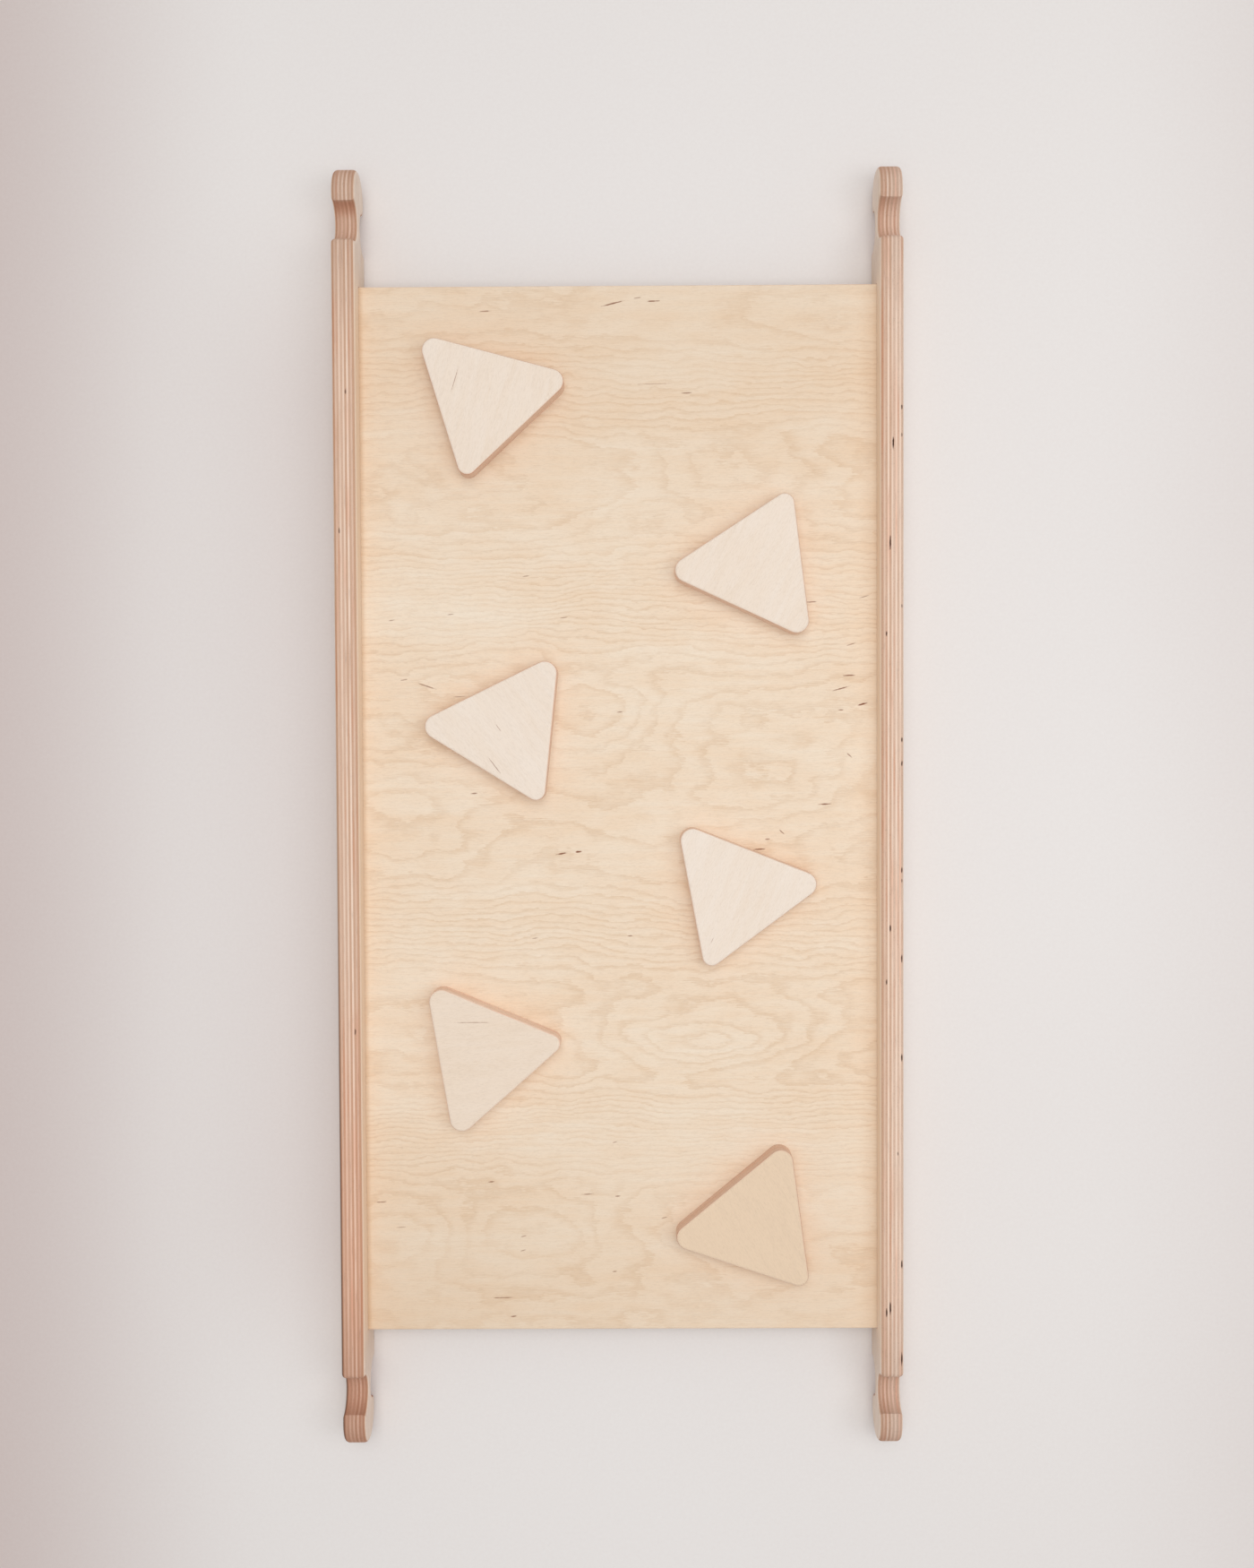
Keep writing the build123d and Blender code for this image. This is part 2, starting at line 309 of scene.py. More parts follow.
class RampColours(bpy.types.PropertyGroup):
    """Colours of the wood, the screws and the floor."""

    panel_pale: colour_setting("Panel, pale", "Palest veneer of the panel", tone(251, 236, 216))
    # Panel, warm also paints the bounce light from the panel onto the rails' inner faces
    panel_warm: colour_setting("Panel, warm", "Warmer patches of the panel", tone(247, 222, 194))
    # Panel, growth line also paints the panel's shade towards its ends, its lower left corner and beside the
    # rails
    panel_line: colour_setting("Panel, growth line", "Late wood in the panel's figure", tone(216, 180, 142))
    rail_pale: colour_setting("Rail's side, pale", "Palest veneer of the rails' sides", tone(248, 232, 219))
    rail_warm: colour_setting("Rail's side, warm", "Warmer patches of the rails' sides", tone(236, 216, 198))
    hold_pale: colour_setting("Hold, pale", "Palest veneer of the holds", tone(251, 238, 225))
    hold_warm: colour_setting("Hold, warm", "Warmest veneer of the holds", tone(241, 216, 188))
    hold_line: colour_setting("Hold, growth line", "Late wood in the holds' veneer", tone(228, 204, 178))
    side_grain: colour_setting("Side grain", "Plies cut along their fibres", tone(250, 224, 204))
    # End grain also paints the shade on the noses' inner walls
    end_grain: colour_setting("End grain", "Plies cut across their fibres", tone(208, 166, 138))
    # This colour paints light on the right rail's outer plies, making their end grain paler
    lit_end_grain: colour_setting(
        "End grain, painted light", "Paler cut fibres towards the right rail's outer face", tone(214, 182, 160)
    )
    # This colour paints shade on the rails' ends
    painted_rail_end_shade: colour_setting("Rail ends, painted shade", "What the rails' ends keep of their light", tone(204, 196, 196))
    # Blush also paints the rosy shade on the noses' inner walls
    blush: colour_setting("Blush", "What rosy plies keep of their light", tone(250, 230, 221))
    # Void also paints the shade line along the left rail's outer edge
    void: colour_setting("Void", "Gaps in the inner plies", tone(62, 30, 18))
    fleck: colour_setting("Fleck", "Bark flecks in the veneer", tone(128, 62, 26))
    pores: colour_setting("Pores", "What fine pores keep of the veneer's light", tone(186, 178, 172))
    steel: colour_setting("Screw steel", "Zinc-plated steel", tone(198, 197, 192))
    floor: colour_setting("Floor", "Pale floor", tone(245, 242, 240))
    # This colour paints the floor's shade towards its sides and its shadow beside the left rail, and a faint
    # mottle
    floor_mottle_and_painted_shade: colour_setting("Floor, rosy", "Rosier floor towards its sides", tone(214, 200, 196))


class RampStage(bpy.types.PropertyGroup):
    """Sky and lamps that light the ramp."""

    sky: bpy.props.FloatProperty(name="Sky", description="Light from all round", default=0.5, min=0.0)
    side_lamp: power_setting("Side lamp", "Large lamp beyond the right-hand side", 5.5)
    top_lamp: power_setting("Top lamp", "Large lamp straight above", 9.3)
    far_lamp: power_setting("Far lamp", "Large lamp high beyond the upper end", 105.0)


class Value:
    """A socket of a shader that is reckoned with as a number is."""

    def __init__(self, shader, socket):
        self.shader = shader
        self.socket = socket

    def __add__(self, other):
        return self.shader.maths("ADD", self, other)

    __radd__ = __add__

    def __sub__(self, other):
        return self.shader.maths("SUBTRACT", self, other)

    def __rsub__(self, other):
        return self.shader.maths("SUBTRACT", other, self)

    def __mul__(self, other):
        return self.shader.maths("MULTIPLY", self, other)

    __rmul__ = __mul__

    def __truediv__(self, other):
        return self.shader.maths("DIVIDE", self, other)

    def __rtruediv__(self, other):
        return self.shader.maths("DIVIDE", other, self)

    def __abs__(self):
        return self.shader.maths("ABSOLUTE", self)


class Shader:
    """The nodes of one material or sky."""

    def __init__(self, tree):
        self.tree = tree
        tree.nodes.clear()

    def node(self, kind, settings=None, inputs=None, output=0):
        """Adds a node, makes its settings, fills its sockets and gives the wanted output."""
        node = self.tree.nodes.new(kind)
        for name, value in (settings or {}).items():
            if name == "stops":
                set_stops(node.color_ramp, value)
            else:
                setattr(node, name, value)
        for name, value in (inputs or {}).items():
            if isinstance(value, Value):
                self.tree.links.new(value.socket, node.inputs[name])
            else:
                node.inputs[name].default_value = value
        return Value(self, node.outputs[output]) if node.outputs else node

    def maths(self, operation, *values):
        """Works out one sum on numbers."""
        return self.node("ShaderNodeMath", {"operation": operation}, dict(enumerate(values)))

    def vectors(self, operation, *values, output=0):
        """Works out one sum on vectors."""
        return self.node("ShaderNodeVectorMath", {"operation": operation}, dict(enumerate(values)), output)

    def split(self, vector):
        """The three numbers of a vector."""
        outputs = self.node("ShaderNodeSeparateXYZ", inputs={0: vector}).socket.node.outputs
        return [Value(self, output) for output in outputs]

    def join(self, x, y, z):
        """A vector from three numbers."""
        return self.node("ShaderNodeCombineXYZ", inputs={0: x, 1: y, 2: z})

    def between(self, share, first, second):
        """A number on the way from the first to the second."""
        return self.node("ShaderNodeMix", {"data_type": "FLOAT"}, {0: share, 2: first, 3: second}, 0)

    def between_vectors(self, share, first, second):
        """A vector on the way from the first to the second."""
        return self.node("ShaderNodeMix", {"data_type": "VECTOR"}, {0: share, 4: first, 5: second}, 1)

    def mix(self, share, first, second, way="MIX"):
        """A colour on the way from the first to the second."""
        colours = [part if isinstance(part, Value) else (*part, 1.0) for part in (first, second)]
        settings = {"data_type": "RGBA", "blend_type": way}
        return self.node("ShaderNodeMix", settings, {0: share, 6: colours[0], 7: colours[1]}, 2)

    def ease(self, value, low, high, start=0.0, end=1.0):
        """Goes smoothly from start to end as the value goes from low to high."""
        inputs = {0: value, 1: low, 2: high, 3: start, 4: end}
        return self.node("ShaderNodeMapRange", {"interpolation_type": "SMOOTHSTEP"}, inputs)

    def noise(self, place, lengths, seed, detail=2.0, roughness=0.5):
        """Noise from about 0.2 to 0.8, whose patches have these lengths along the axes."""
        scaled = self.vectors("DIVIDE", place, lengths)
        moved = self.vectors("ADD", scaled, (seed * 7.31, seed * 3.17, seed * 5.53))
        inputs = {"Vector": moved, "Scale": 1.0, "Detail": detail, "Roughness": roughness}
        return self.node("ShaderNodeTexNoise", {"noise_dimensions": "3D"}, inputs)

    def pattern(self, place, name, seed=0):
        """Noise with the sizes of one of the patterns."""
        lengths, detail, roughness, shift = PATTERNS[name]
        return self.noise(place, [length * MM for length in lengths], seed + shift, detail, roughness)

    def chance(self, number):
        """A chance number from 0 to 1 for each whole number."""
        return self.node("ShaderNodeTexWhiteNoise", {"noise_dimensions": "1D"}, {"W": number})

    def seen(self):
        """1 where the camera, or a mirror or glass, looks at the surface, and 0 where it only gives light."""
        direct = 0.0
        for ray in ("Is Camera Ray", "Is Glossy Ray", "Is Transmission Ray"):
            direct = self.maths("MAXIMUM", direct, self.node("ShaderNodeLightPath", output=ray))
        return direct

    def finish(self, colour, roughness, height, relief):
        """Sends colour, roughness and relief to the surface of the wood."""
        bump = self.node("ShaderNodeBump", {}, {"Strength": 1.0, "Distance": relief, "Height": height})
        inputs = {"Base Color": colour, "Roughness": roughness, "Normal": bump}
        surface = self.node("ShaderNodeBsdfPrincipled", {}, {**inputs, "Specular IOR Level": WOOD_GLOSS})
        self.node("ShaderNodeOutputMaterial", {}, {"Surface": surface})


def set_stops(ramp, stops):
    """Gives a colour ramp its stops, each a place from 0 to 1 and a grey value, with sharp steps."""
    ramp.interpolation = "CONSTANT"
    while len(ramp.elements) > 1:
        ramp.elements.remove(ramp.elements[-1])
    for number, (place, grey) in enumerate(stops):
        element = ramp.elements[0] if number == 0 else ramp.elements.new(place)
        element.position = place
        element.color = (grey, grey, grey, 1.0)


def new_shader(name):
    """A new material with an empty set of nodes."""
    material = bpy.data.materials.new(name)
    material.use_nodes = True
    return material, Shader(material.node_tree)


def dress(node_name, material):
    """Gives a piece of the frame its material."""
    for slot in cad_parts[node_name].material_slots:
        slot.material = material


def marks(shader, place, kinds):
    """How strongly each place is marked by long thin ovals, from 0 to 1.

    Each kind has its half lengths, its turn about the third axis, its strength and the middles of its ovals.
    """
    ragged = shader.pattern(place, "ragged marks")
    out_of_reach = 10.0
    mask = 0.0
    for half_lengths, turn, strength, middles in kinds:
        inputs = {"Vector": place, "Rotation": (0.0, 0.0, turn), "Scale": half_lengths}
        local = shader.node("ShaderNodeMapping", {"vector_type": "TEXTURE"}, inputs)
        nearest = out_of_reach
        for middle in middles:
            turned = Matrix.Rotation(-turn, 3, "Z") @ Vector(middle)
            oval = [part / half_length for part, half_length in zip(turned, half_lengths)]
            apart = shader.vectors("DISTANCE", local, oval, output=1)
            nearest = shader.maths("MINIMUM", nearest, apart)
        mark = shader.ease(nearest + ragged, 0.95, 1.6, strength, 0.0)
        mask = shader.maths("MAXIMUM", mask, mark)
    return mask


def flat_marks(flecks, z):
    """Kinds of marks on a flat face at this height, from a list in mm and degrees."""
    kinds = []
    for length, width, turn, strength, places in flecks:
        half_lengths = (length / 2 * MM, width / 2 * MM, MARK_DEPTH)
        middles = [(x * MM, y * MM, z) for x, y in places]
        kinds.append((half_lengths, math.radians(turn), strength, middles))
    return kinds


def void_marks(voids, ply):
    """Kinds of marks for the voids along a rail's upper edge, each as wide as a ply, from a list in mm."""
    kinds = []
    for length, strength, places in voids:
        half_lengths = (length / 2 * MM, VOID_DEPTH, ply / 2)
        middles = [(along * MM, RAIL_HIGH.z, depth * MM) for along, depth in places]
        kinds.append((half_lengths, 0.0, strength, middles))
    return kinds


def swung_rings(shader, spot, seed, sizes):
    """Growth rings of the panel's face: close together in its bands, and calm with islands between them."""
    bend = shader.pattern(spot, "panel bend", seed) - 0.5
    jitter = shader.pattern(spot, "panel jitter", seed) - 0.5
    sway = shader.pattern(spot, "panel sway", seed) - 0.5
    across = shader.split(spot)[1] + bend * sizes.figure_bend + jitter * FIGURE_JITTER
    rings = sway * FIGURE_SWAY
    for low, high, climb in FIGURE_BANDS:
        rings = rings + shader.ease(across, low * MM, high * MM, 0.0, climb)
    for x, y, half_length, half_width, height in FIGURE_ISLANDS:
        middle = (x * MM, y * MM, 0.0)
        inputs = {"Vector": spot, "Location": middle, "Scale": (half_length * MM, half_width * MM, 1.0)}
        local = shader.node("ShaderNodeMapping", {"vector_type": "TEXTURE"}, inputs)
        apart = shader.vectors("LENGTH", local, output=1)
        rings = rings + shader.maths("EXPONENT", apart * apart * -1.0) * height
    return rings


def straight_rings(shader, spot, spacing, sway_rings, seed):
    """Growth rings of a narrow face: lines along the grain that sway a little."""
    sway = shader.pattern(spot, "narrow sway", seed) - 0.5
    jitter = shader.pattern(spot, "narrow jitter", seed) - 0.5
    return shader.split(spot)[1] / spacing + sway * sway_rings + jitter * 0.6


def veneer(shader, spot, rings, tones, figure, seed, colours, sizes):
    """Colour and height of a rotary-cut face, from how many growth rings lie behind each place.

    The tones are those of pale wood, warm wood and growth lines. The figure, from 0 to 1, is how strongly the
    growth lines show.
    """
    pale, warm, line = tones
    curl = shader.pattern(spot, "curled rings", seed) - 0.5
    feather = shader.pattern(spot, "feathered rings", seed) - 0.5
    rings = rings + feather * 0.7 + curl * 1.8
    number = shader.maths("FLOOR", rings)
    step = rings - number
    ring_tone = shader.chance(number + (seed + RING_TONES_SHIFT))
    late_wood = shader.ease(step, 0.5, 0.95) * shader.ease(step, 0.95, 1.0, 1.0, 0.0)

    patches = shader.pattern(spot, "warm patches", seed)
    broad = shader.pattern(spot, "broad streaks", seed)
    mottle = shader.pattern(spot, "mottle", seed)
    warmth = shader.ease(patches, 0.3, 0.7) * 0.4 + ring_tone * 0.16 + shader.ease(broad, 0.3, 0.7) * 0.22
    warmth = warmth + shader.ease(mottle, 0.35, 0.65) * 0.22
    colour = shader.mix(warmth, pale, warm)

    fibre_lengths = (sizes.fibre_length, sizes.fibre_width, sizes.fibre_width)
    fibres = shader.noise(spot, fibre_lengths, seed + FACE_FIBRES_SHIFT, **FIBRES)
    dark = late_wood * shader.ease(patches, 0.3, 0.65, 0.12, 0.3) * figure
    dark = dark + shader.ease(fibres, 0.46, 0.85) * (0.1 + 0.14 * figure)
    colour = shader.mix(dark, colour, line)
    pores = shader.pattern(spot, "pores", seed)
    colour = shader.mix(shader.ease(pores, 0.42, 0.78) * 0.16, colour, colours.pores, "MULTIPLY")
    height = 0.6 - shader.ease(fibres, 0.5, 0.8) * 0.6
    return colour, height


def plywood(shader, spot, facing, thickness, ply, shades, dark, face, seed, colours, sizes):
    """Colour, roughness and height of a board, whose plies show wherever it is cut.

    The spot is along the face's grain, across it and up through the board, and so is the facing direction.
    Each ply's shade is how far it is on its way from the dark colour to that of side grain. The face is the
    veneer's colour and height.
    """
    plies = len(shades)
    just_inside = 0.01
    along_face, across_face, flat_face = shader.split(facing)
    along, across, depth = shader.split(spot)
    layer = (depth - thickness / 2) / ply + plies / 2
    layer = shader.maths("MAXIMUM", layer, just_inside)
    layer = shader.maths("MINIMUM", layer, plies - just_inside)
    number = shader.maths("FLOOR", layer)
    crossing = shader.maths("MODULO", number, 2.0)
    end_grain = shader.between(crossing, along_face * along_face, across_face * across_face)
    end_grain = shader.ease(end_grain, 0.1, 0.75)

    straight = (1 / sizes.fibre_length, 1 / sizes.fibre_width, 1 / sizes.fibre_width)
    turned = (1 / sizes.fibre_width, 1 / sizes.fibre_length, 1 / sizes.fibre_width)
    stretch = shader.between_vectors(crossing, straight, turned)
    fibre_place = shader.vectors("MULTIPLY", spot, stretch)
    fibres = shader.noise(fibre_place, (1.0, 1.0, 1.0), seed + PLY_FIBRES_SHIFT, **FIBRES)
    drift = shader.pattern(shader.join(along, across, number * PLY_JUMP), "ply drift", seed)

    stops = [(index / plies, shade) for index, shade in enumerate(shades)]
    shade = shader.node("ShaderNodeValToRGB", {"stops": stops}, {0: layer / plies})
    side = shader.mix(shade, dark, colours.side_grain)
    end = shader.mix(shade * 0.5, dark, colours.side_grain)
    colour = shader.mix(end_grain * 0.5, side, end)
    colour = shader.mix(shader.ease(drift, 0.5, 0.8) * 0.5, colour, colours.end_grain)
    colour = shader.mix(shader.ease(drift, 0.5, 0.25), colour, colours.blush, "MULTIPLY")
    step = layer - number
    glue = shader.ease(shader.maths("MINIMUM", step, 1 - step), 0.0, 0.14, 1.0, 0.0)
    colour = shader.mix(glue * 0.25, colour, colours.end_grain)
    colour = shader.mix(shader.ease(fibres, 0.5, 0.85) * 0.35, colour, colours.void, "MULTIPLY")

    outermost = shader.ease(abs(layer - plies / 2), plies / 2 - 1.05, plies / 2 - 0.95)
    on_face = shader.ease(abs(flat_face), 0.55, 0.9) * outermost
    face_colour, face_height = face
    colour = shader.mix(on_face, colour, face_colour)
    edge_height = 0.6 - shader.ease(fibres, 0.45, 0.8) * 1.2 - glue * 0.4
    height = shader.between(on_face, edge_height, face_height)
    roughness = shader.between(on_face, 0.72, 0.56)
    return colour, roughness, height


def ply_shades(plies):
    """Shades for a board's plies, light and dark in turn."""
    return [LIGHT_PLY if number % 2 == 0 else DARK_PLY for number in range(plies)]


def panel_material(colours, sizes):
    """Birch with a swinging growth figure across the panel, and plies at its ends."""
    material, shader = new_shader("panel_birch")
    place = shader.node("ShaderNodeTexCoord", output="Object")
    facing = shader.node("ShaderNodeTexCoord", output="Normal")
    spot = shader.vectors("SUBTRACT", place, (0.0, 0.0, PANEL_LOW.z))
    rings = swung_rings(shader, spot, PANEL_SEED, sizes)
    tones = (colours.panel_pale, colours.panel_warm, colours.panel_line)
    colour, height = veneer(shader, spot, rings, tones, 1.0, PANEL_SEED, colours, sizes)

    across, along, _ = shader.split(spot)
    # Painted shade: darker towards both ends and the lower left corner, and in a thin strip beside each rail
    ends = shader.ease(abs(along - PANEL_PALEST_Y), *PANEL_END_SHADE_Y, 0.0, 0.2)
    painted_corner_shade = shader.ease(along, *PANEL_CORNER_SHADE_Y) * shader.ease(across, *PANEL_CORNER_SHADE_X, 0.0, 0.14)
    painted_left_joint_shade = shader.ease(across, JOINT_SHADE_WIDTH - PANEL_SHOWN_X, -PANEL_SHOWN_X, 0.0, 0.4)
    painted_right_joint_shade = shader.ease(across, PANEL_SHOWN_X - JOINT_SHADE_WIDTH, PANEL_SHOWN_X, 0.0, 0.1)
    face = shader.mix(ends + painted_corner_shade + painted_left_joint_shade + painted_right_joint_shade, colour, colours.panel_line), height
    shades = ply_shades(PANEL_PLIES)
    colour, roughness, height = plywood(
        shader, spot, facing, PANEL_THICKNESS, sizes.panel_ply, shades, colours.end_grain, face, PANEL_SEED,
        colours, sizes
    )
    flecks = marks(shader, place, flat_marks(PANEL_FLECKS, PANEL_HIGH.z))
    colour = shader.mix(flecks, colour, colours.fleck)
    shader.finish(colour, roughness, height, sizes.relief)
    return material


def rail_material(name, shades, lower_blush_and_shade, painted_outer_light, voids, seed, colours, sizes):
    """Birch plywood on edge: striped edges with voids, and veneer along the inner and outer faces."""
    material, shader = new_shader(name)
    x, y, z = shader.split(shader.node("ShaderNodeTexCoord", output="Object"))
    facing_x, facing_y, facing_z = shader.split(shader.node("ShaderNodeTexCoord", output="Normal"))
    depth = abs(x) - RAIL_LOW.x
    spot = shader.join(y, z, depth)
    facing = shader.join(facing_y, facing_z, facing_x)

    rings = straight_rings(shader, spot, RAIL_RING, RAIL_SWAY, seed)
    tones = (colours.rail_pale, colours.rail_warm, colours.panel_line)
    colour, height = veneer(shader, spot, rings, tones, 0.8, seed, colours, sizes)
    # Painted bounce light: the inner face beside the panel takes on the panel's warm colour
    inwards = shader.ease(facing_x * x, 0.0, -0.1)
    painted_panel_bounce = inwards * shader.ease(abs(y), *PANEL_BOUNCE_Y, 0.0, 0.65)
    face = shader.mix(painted_panel_bounce, colour, colours.panel_warm), height
    # Painted light: on a rail lit from its outer side, the end grain of the outer plies is paler
    painted_pallor = shader.ease(depth, *PALLOR_DEPTH, 0.0, painted_outer_light)
    dark = shader.mix(painted_pallor, colours.end_grain, colours.lit_end_grain)
    colour, roughness, height = plywood(
        shader, spot, facing, RAIL_THICKNESS, sizes.rail_ply, shades, dark, face, seed, colours, sizes
    )

    on_edge = shader.ease(abs(facing_x), 0.4, 0.8, 1.0, 0.0)
    in_seat = shader.ease(abs(z - RAIL_MIDDLE_Z), *SEAT_Z) * on_edge
    # Painted shade: the noses' inner walls turn rosy and darker, more at the upper end, on a rail without
    # painted light
    nose_wall = shader.ease(facing_y * y, -0.1, -0.42, 0.0, 1.0 - painted_outer_light) * in_seat
    lower = shader.ease(y, *LOWER_Y) * (0.2 + 0.8 * on_edge)
    rosy = in_seat * 0.35 + nose_wall * 0.6 + lower * lower_blush_and_shade
    colour = shader.mix(rosy, colour, colours.blush, "MULTIPLY")
    wall_shade = nose_wall * shader.ease(y, *WALL_SHADE_Y, 0.1, 0.3)
    colour = shader.mix(wall_shade, colour, colours.end_grain, "MULTIPLY")

    # Painted shade darkens the rails' ends, more so in the lower half
    lower_end_shade = 1.2 + 0.3 * lower_blush_and_shade
    painted_rail_end_shade = shader.ease(abs(y), *RAIL_END_SHADE_Y, 0.0, 0.45)
    painted_rail_end_shade = painted_rail_end_shade * shader.ease(y, *RAIL_END_SHADE_LOWER_Y, lower_end_shade, 1.0)
    colour = shader.mix(painted_rail_end_shade * on_edge, colour, colours.painted_rail_end_shade, "MULTIPLY")
    # Painted shade: a dark line along the left rail's rounded outer edge, in its lower part
    painted_outer_shade = shader.ease(depth, *OUTER_SHADE_DEPTH, 0.0, 0.8 * lower_blush_and_shade)
    painted_outer_shade = painted_outer_shade * shader.ease(abs(facing_x), 0.9, 0.98, 1.0, 0.0) * shader.ease(y, *OUTER_SHADE_Y)
    colour = shader.mix(painted_outer_shade, colour, colours.void)

    gaps = marks(shader, spot, void_marks(voids, sizes.rail_ply))
    colour = shader.mix(gaps, colour, colours.void)
    shader.finish(colour, roughness, height - gaps * 3.0, sizes.relief)
    return material


def hold_material(name, seed, colours, sizes):
    """Pale birch whose grain runs its own way on each hold, with plies round its sides."""
    material, shader = new_shader(name.replace("hold", "hold_birch"))
    grain, warmth, painted_side_light, hairlines = HOLD_LOOKS[name]
    low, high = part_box(name)
    middle = ((low.x + high.x) / 2, (low.y + high.y) / 2, low.z)
    turn = (0.0, 0.0, math.radians(grain))
    place = shader.node("ShaderNodeTexCoord", output="Object")
    normal = shader.node("ShaderNodeTexCoord", output="Normal")
    way = {"vector_type": "TEXTURE"}
    spot = shader.node("ShaderNodeMapping", way, {"Vector": place, "Location": middle, "Rotation": turn})
    facing = shader.node("ShaderNodeMapping", way, {"Vector": normal, "Rotation": turn})

    rings = straight_rings(shader, spot, HOLD_RING, HOLD_SWAY, seed)
    pale = blend(warmth, colours.hold_pale, colours.hold_warm)
    warm = blend(0.35 + 0.65 * warmth, colours.hold_pale, colours.hold_warm)
    tones = (pale, warm, colours.hold_line)
    face = veneer(shader, spot, rings, tones, 0.3 + 0.5 * warmth, seed, colours, sizes)
    # Painted light: the dark plies of each hold's sides are lifted towards side grain by its own share
    dark = blend(painted_side_light, colours.end_grain, colours.side_grain)
    shades = ply_shades(HOLD_PLIES)
    colour, roughness, height = plywood(
        shader, spot, facing, HOLD_THICKNESS, sizes.hold_ply, shades, dark, face, seed, colours, sizes
    )
    if hairlines:
        lines = marks(shader, place, flat_marks(hairlines, high.z))
        colour = shader.mix(lines, colour, colours.fleck)
        height = height - lines * 0.8
    shader.finish(colour, roughness, height, sizes.relief)
    return material


def screw_material(colours):
    """Zinc-plated steel with fine marks from the driver."""
    material, shader = new_shader("zinc_plated_steel")
    place = shader.node("ShaderNodeTexCoord", output="Object")
    cloud = shader.pattern(place, "steel cloud")
    scratch = shader.pattern(place, "steel scratch")
    dull = [part * 0.72 for part in colours.steel]
    colour = shader.mix(shader.ease(cloud, 0.35, 0.7), colours.steel, dull)
    roughness = 0.28 + cloud * 0.2 + scratch * 0.1
    bump = shader.node("ShaderNodeBump", {}, {"Strength": 0.4, "Distance": SCREW_RELIEF, "Height": scratch})
    inputs = {"Base Color": colour, "Metallic": 1.0, "Roughness": roughness, "Normal": bump}
    surface = shader.node("ShaderNodeBsdfPrincipled", {}, inputs)
    shader.node("ShaderNodeOutputMaterial", {}, {"Surface": surface})
    return material


def floor_material(colours):
    """Pale matt floor, with painted shade towards its sides and along the left rail, as pale as the sky far
    away.
    """
    material, shader = new_shader("pale_floor")
    place = shader.node("ShaderNodeTexCoord", output="Object")
    patches = shader.pattern(place, "floor patches")
    fine = shader.pattern(place, "floor grain")
    floor_x, floor_y, _ = shader.split(place)
    across = floor_x + (patches - 0.5) * SHADE_WANDER
    apart = shader.vectors("LENGTH", place, output=1)
    # Painted shade, rosy, towards the left and right sides, fading out far from the ramp
    painted_side_shade = shader.ease(across, *LEFT_SHADE_X, 0.0, 0.85) + shader.ease(across, *RIGHT_SHADE_X, 0.0, 0.3)
    painted_side_shade = painted_side_shade * shader.ease(apart, *SHADE_END, 1.0, 0.0)
    painted_side_shade = painted_side_shade * shader.ease(abs(across), *SHADE_END_X, 1.0, 0.0)
    # Painted shadow of the left rail on the floor beside it
    painted_rail_shadow = shader.ease(across, *RAIL_SHADE_X, 0.0, 0.32) * shader.ease(floor_x, *RAIL_FOOT_X)
    painted_rail_shadow = painted_rail_shadow * shader.ease(abs(floor_y), *RAIL_SHADE_Y)
    shade = painted_side_shade + painted_rail_shadow + (patches + fine) * 0.15
    colour = shader.mix(shade, colours.floor, colours.floor_mottle_and_painted_shade)
    inputs = {"Base Color": colour, "Roughness": 0.6 + fine * 0.1, "Specular IOR Level": FLOOR_GLOSS}
    surface = shader.node("ShaderNodeBsdfPrincipled", {}, inputs)
    pale = shader.node("ShaderNodeEmission", {}, {"Color": (*colours.floor, 1.0), "Strength": 1.0})
    share = shader.seen() * shader.ease(apart, *PALE_FROM)
    both = shader.node("ShaderNodeMixShader", {}, {0: share, 1: surface, 2: pale})
    shader.node("ShaderNodeOutputMaterial", {}, {"Surface": both})
    return material


def add_floor(colours):
    """Floor that the ramp lies on."""
    bpy.ops.object.select_all(action="DESELECT")
    bpy.ops.mesh.primitive_plane_add(size=FLOOR_SIZE, location=(0.0, 0.0, -FLOOR_DROP))
    floor = bpy.context.object
    floor.name = "floor"
    floor.data.materials.append(floor_material(colours))


def add_lamp(name, place, target, width, power):
    """A large square lamp that shines at the target."""
    bpy.ops.object.light_add(type="AREA", location=place)
    lamp = bpy.context.object
    lamp.name = name
    lamp.data.shape = "SQUARE"
    lamp.data.size = width
    lamp.data.energy = power
    aim = Vector(place) - Vector(target)
    lamp.rotation_euler = aim.to_track_quat("Z", "Y").to_euler()


def add_sky(colours, strength):
    """Soft light from all round. The camera, mirrors and glass see it as a pale background."""
    world = bpy.data.worlds.new("pale_sky")
    bpy.context.scene.world = world
    world.use_nodes = True
    shader = Shader(world.node_tree)
    lit = shader.node("ShaderNodeBackground", {}, {"Color": SKY_LIGHT, "Strength": strength})
    shown = shader.node("ShaderNodeBackground", {}, {"Color": (*colours.floor, 1.0), "Strength": 1.0})
    both = shader.node("ShaderNodeMixShader", {}, {0: shader.seen(), 1: lit, 2: shown})
    shader.node("ShaderNodeOutputWorld", {}, {"Surface": both})


def add_camera():
    """Camera at the photographed view, which looks nearly straight down."""
    bpy.ops.object.camera_add()
    camera = bpy.context.object
    camera.name = "photo_camera"
    turn = Matrix.Rotation(-CAMERA_TILT, 4, "X") @ Matrix.Rotation(-CAMERA_YAW, 4, "Y")
    turn = turn @ Matrix.Rotation(-CAMERA_ROLL, 4, "Z")
    camera.matrix_world = Matrix.Translation(CAMERA_PLACE) @ turn
    camera.data.sensor_fit = "AUTO"
    camera.data.sensor_width = SENSOR_SIZE
    camera.data.lens = FOCAL_PIXELS / IMAGE_HEIGHT * SENSOR_SIZE
    bpy.context.scene.camera = camera


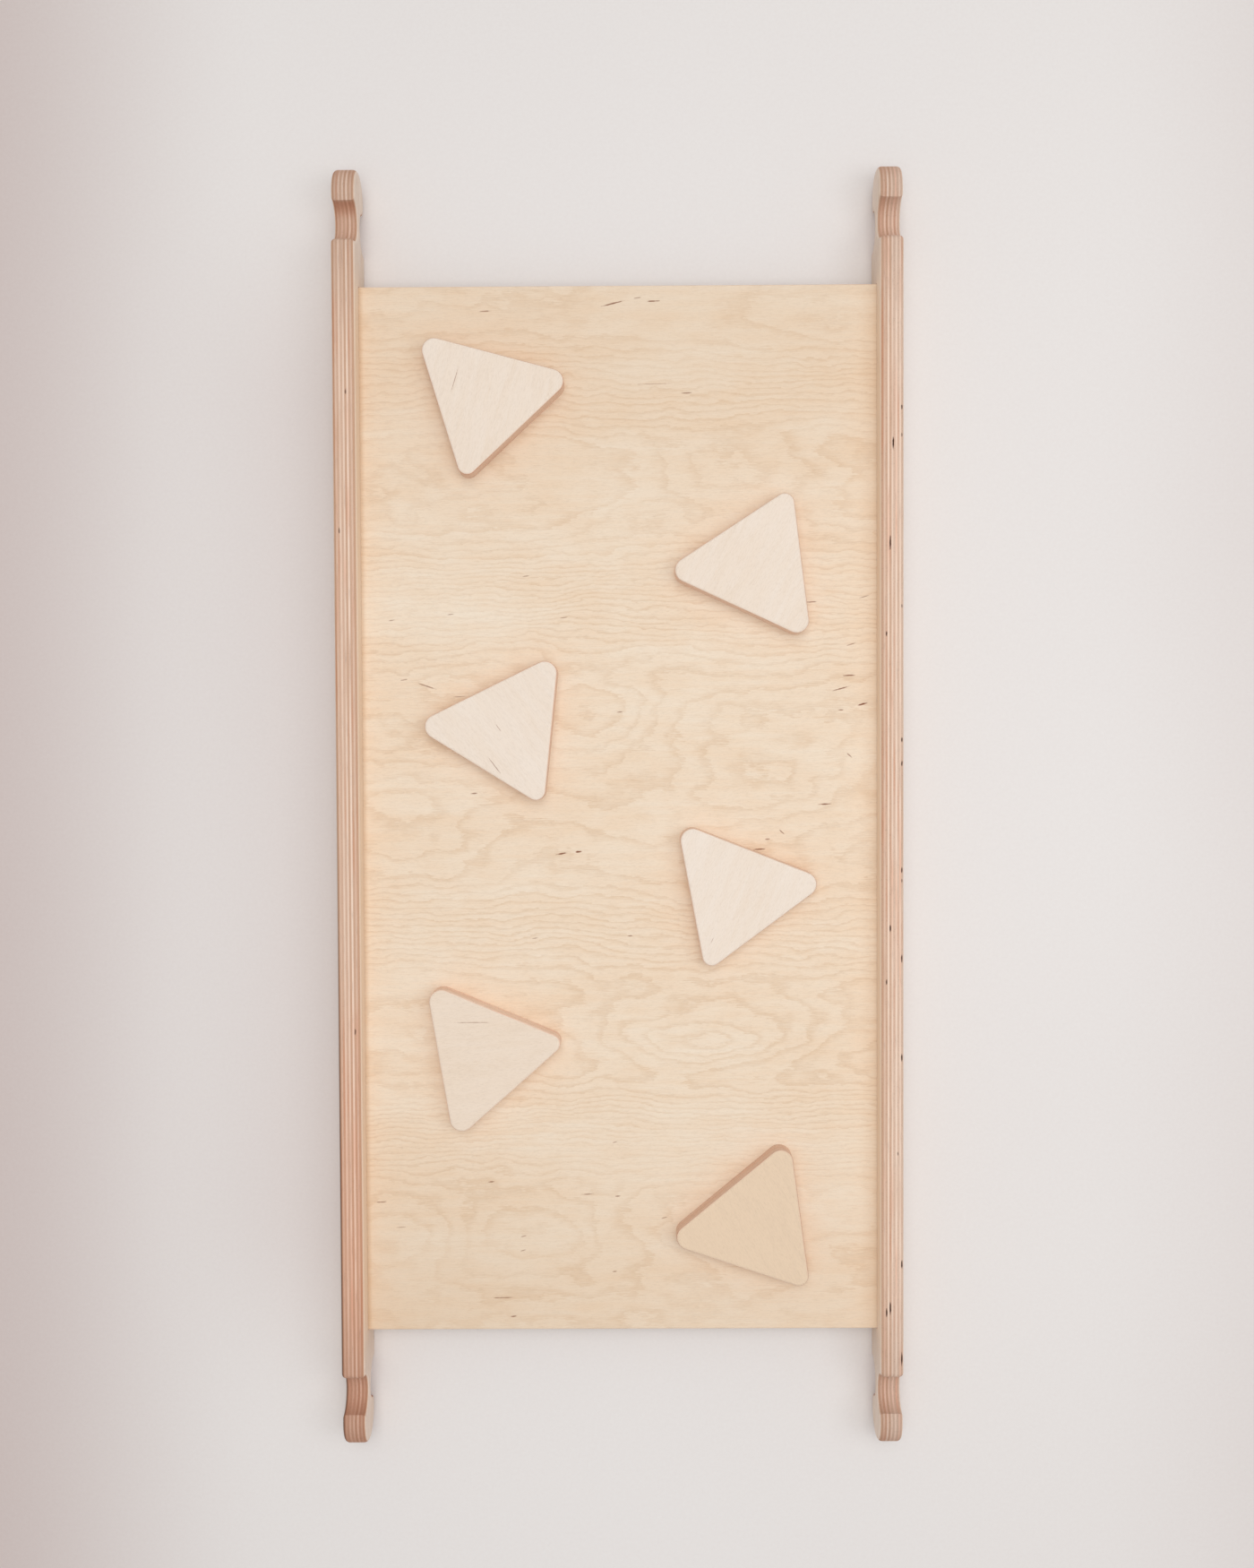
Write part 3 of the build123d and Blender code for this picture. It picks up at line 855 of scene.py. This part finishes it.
class RAMP_OT_finish_rails(bpy.types.Operator):
    """Gives both rails their striped birch plywood"""

    bl_idname = "ramp.finish_rails"
    bl_label = "Finish Rails"
    bl_options = {"REGISTER", "UNDO"}

    def execute(self, context):
        scene = context.scene
        settings = {"colours": scene.ramp_colours, "sizes": scene.ramp_sizes}
        for name, looks in RAIL_LOOKS.items():
            dress(name, rail_material(f"{name}_birch", **looks, **settings))
        return {"FINISHED"}


class RAMP_OT_finish_panel(bpy.types.Operator):
    """Gives the climbing panel its birch veneer with growth figure and flecks"""

    bl_idname = "ramp.finish_panel"
    bl_label = "Finish Panel"
    bl_options = {"REGISTER", "UNDO"}

    def execute(self, context):
        scene = context.scene
        dress("climbing_panel", panel_material(scene.ramp_colours, scene.ramp_sizes))
        return {"FINISHED"}


class RAMP_OT_finish_holds(bpy.types.Operator):
    """Gives each hold its pale veneer, with the grain running its own way"""

    bl_idname = "ramp.finish_holds"
    bl_label = "Finish Holds"
    bl_options = {"REGISTER", "UNDO"}

    def execute(self, context):
        scene = context.scene
        for number, name in enumerate(HOLD_NAMES):
            seed = FIRST_HOLD_SEED + HOLD_SEED_STEP * number
            dress(name, hold_material(name, seed, scene.ramp_colours, scene.ramp_sizes))
        return {"FINISHED"}


class RAMP_OT_finish_screws(bpy.types.Operator):
    """Gives all screws their zinc-plated steel"""

    bl_idname = "ramp.finish_screws"
    bl_label = "Finish Screws"
    bl_options = {"REGISTER", "UNDO"}

    def execute(self, context):
        material = screw_material(context.scene.ramp_colours)
        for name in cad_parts:
            if name.endswith("_screws"):
                dress(name, material)
        return {"FINISHED"}


class RAMP_OT_build_stage(bpy.types.Operator):
    """Adds the floor, the sky, the lamps and the camera"""

    bl_idname = "ramp.build_stage"
    bl_label = "Build Stage"
    bl_options = {"REGISTER", "UNDO"}

    def execute(self, context):
        scene = context.scene
        stage = scene.ramp_stage
        add_floor(scene.ramp_colours)
        add_sky(scene.ramp_colours, stage.sky)
        for name, (place, target, width) in LAMPS.items():
            add_lamp(name, place, target, width, getattr(stage, name))
        add_camera()
        scene.view_settings.view_transform = "Standard"
        return {"FINISHED"}


class RAMP_PT_sidebar(bpy.types.Panel):
    """Lists the ramp's settings and the steps that make it"""

    bl_idname = "RAMP_PT_sidebar"
    bl_label = "Climbing Ramp"
    bl_space_type = "VIEW_3D"
    bl_region_type = "UI"
    bl_category = "Ramp"

    def draw(self, context):
        for group in GROUPS:
            settings = getattr(context.scene, group)
            box = self.layout.box()
            for name in type(settings).__annotations__:
                box.prop(settings, name)
        for step in STEPS:
            self.layout.operator(step.bl_idname)


STEPS = (
    RAMP_OT_finish_rails,
    RAMP_OT_finish_panel,
    RAMP_OT_finish_holds,
    RAMP_OT_finish_screws,
    RAMP_OT_build_stage,
)
GROUPS = {"ramp_sizes": RampSizes, "ramp_colours": RampColours, "ramp_stage": RampStage}


def register():
    """Registers the settings, the steps and the sidebar."""
    for kind in (*GROUPS.values(), *STEPS, RAMP_PT_sidebar):
        bpy.utils.register_class(kind)
    for name, kind in GROUPS.items():
        setattr(bpy.types.Scene, name, bpy.props.PointerProperty(type=kind))


def unregister():
    """Takes the settings, the steps and the sidebar away again."""
    for name in GROUPS:
        delattr(bpy.types.Scene, name)
    for kind in (RAMP_PT_sidebar, *reversed(STEPS), *reversed(GROUPS.values())):
        bpy.utils.unregister_class(kind)


def main():
    """Makes the whole scene."""
    register()
    bpy.ops.ramp.finish_rails()
    bpy.ops.ramp.finish_panel()
    bpy.ops.ramp.finish_holds()
    bpy.ops.ramp.finish_screws()
    bpy.ops.ramp.build_stage()


if __name__ == "__main__":
    main()
